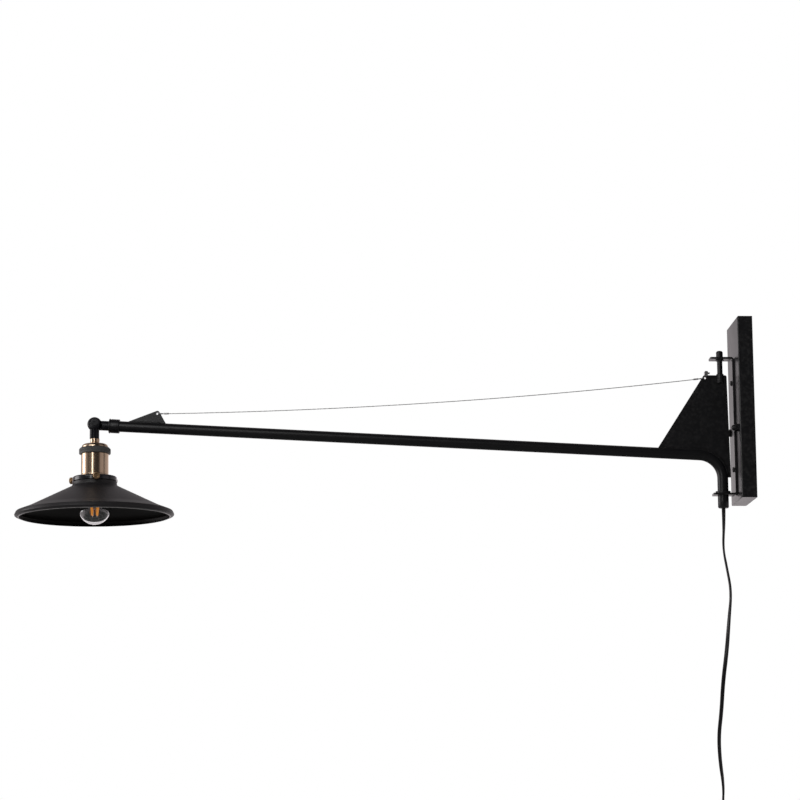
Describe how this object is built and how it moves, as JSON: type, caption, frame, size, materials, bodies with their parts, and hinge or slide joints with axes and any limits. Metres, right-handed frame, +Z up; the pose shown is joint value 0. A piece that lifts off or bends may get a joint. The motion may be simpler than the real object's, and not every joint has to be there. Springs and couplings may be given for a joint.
{
  "type": "swing-arm wall lamp",
  "caption": "Wall lamp with a long bent-tube arm on a vertical pivot, a sagging steel stay wire and a shallow conical shade that tilts at the tip.",
  "frame": {"origin": "on the wall plane, at the centre of the wall strap's back face, midway between the two wall screws", "axes": "+X into the wall, so the arm reaches out along -X at rest; +Z up; +Y along the wall"},
  "size_m": [1.0841, 0.2306, 0.9695],
  "materials": {
    "black_coat": "satin powder coat",
    "zinc": "zinc plated",
    "black_screws": "blackened steel",
    "cord": "smooth black sheath",
    "tie": "matt",
    "plug": "matt",
    "pin_metal": "nickel plated",
    "wire": "drawn steel",
    "bright_steel": "plain",
    "old_brass": "antique brass, polished",
    "bright_brass": "plain",
    "dark_ring": "satin",
    "ceramic": "glazed ceramic",
    "black_gloss": "gloss",
    "shade_black": "satin enamel",
    "glass": "clear",
    "stem_glass": "clear",
    "filament": "phosphor coated"
  },
  "bodies": {
    "wall_mount": {"wall_plate": "black_coat", "wall_crossbar": "zinc", "crossbar_studs": "zinc", "cap_nuts": "black_coat", "hinge_bracket": "black_coat", "bracket_screws": "black_screws", "bracket_nuts": "zinc", "cord_drop": "cord", "cord_hank": "cord", "hank_tie": "tie", "plug_body": "plug", "plug_pins": "pin_metal"},
    "swing_arm": {"arm_tube": "black_coat", "main_gusset": "black_coat", "pivot_pin": "black_coat", "pivot_washer": "black_screws", "pivot_cap": "black_coat", "thrust_collar": "black_coat", "cord_bush": "plug", "inner_cable": "cord", "tip_gusset": "black_coat", "stay_wire": "wire", "wire_ferrules": "wire", "wire_clamp": "bright_steel", "clamp_screw": "black_screws", "arm_coupling": "black_coat", "knuckle_arm_half": "black_coat", "knuckle_screw": "black_screws"},
    "lamp_head": {"knuckle_head_half": "black_coat", "socket_nipple": "old_brass", "head_lead": "cord", "socket_cap": "old_brass", "socket_ring": "dark_ring", "socket_shell": "old_brass", "socket_insert": "ceramic", "screw_shell": "pin_metal", "centre_contact": "bright_brass", "shade_holder": "black_gloss", "holder_lock_ring": "dark_ring", "shade": "shade_black", "bulb_glass": "glass", "bulb_cap": "pin_metal", "bulb_filaments": "filament", "bulb_stem": "stem_glass"},
    "thumb_screw_a": {"thumb_screw_1": "old_brass"},
    "thumb_screw_b": {"thumb_screw_2": "old_brass"},
    "thumb_screw_c": {"thumb_screw_3": "old_brass"}
  },
  "joints": [
    {"name": "arm_swing", "type": "hinge", "parent": "wall_mount", "child": "swing_arm", "pos_m": [-0.042, 0, 0], "axis": [0, 0, 1], "range_deg": [-85, 85]},
    {"name": "head_tilt", "type": "hinge", "parent": "swing_arm", "child": "lamp_head", "pos_m": [-0.97193, 0, 0.00653], "axis": [0, 1, 0], "range_deg": [-5, 90]},
    {"name": "screw_turn_a", "type": "hinge", "parent": "lamp_head", "child": "thumb_screw_a", "pos_m": [-0.96238, -0.03435, -0.07567], "axis": [0.2181, -0.9759, 0.0049], "range_deg": [0, 360]},
    {"name": "screw_turn_b", "type": "hinge", "parent": "lamp_head", "child": "thumb_screw_b", "pos_m": [-0.94415, 0.02383, -0.07526], "axis": [0.7359, 0.6769, 0.0167], "range_deg": [0, 360]},
    {"name": "screw_turn_c", "type": "hinge", "parent": "lamp_head", "child": "thumb_screw_c", "pos_m": [-1.00364, 0.01053, -0.07661], "axis": [-0.954, 0.299, -0.0216], "range_deg": [0, 360]}
  ]
}
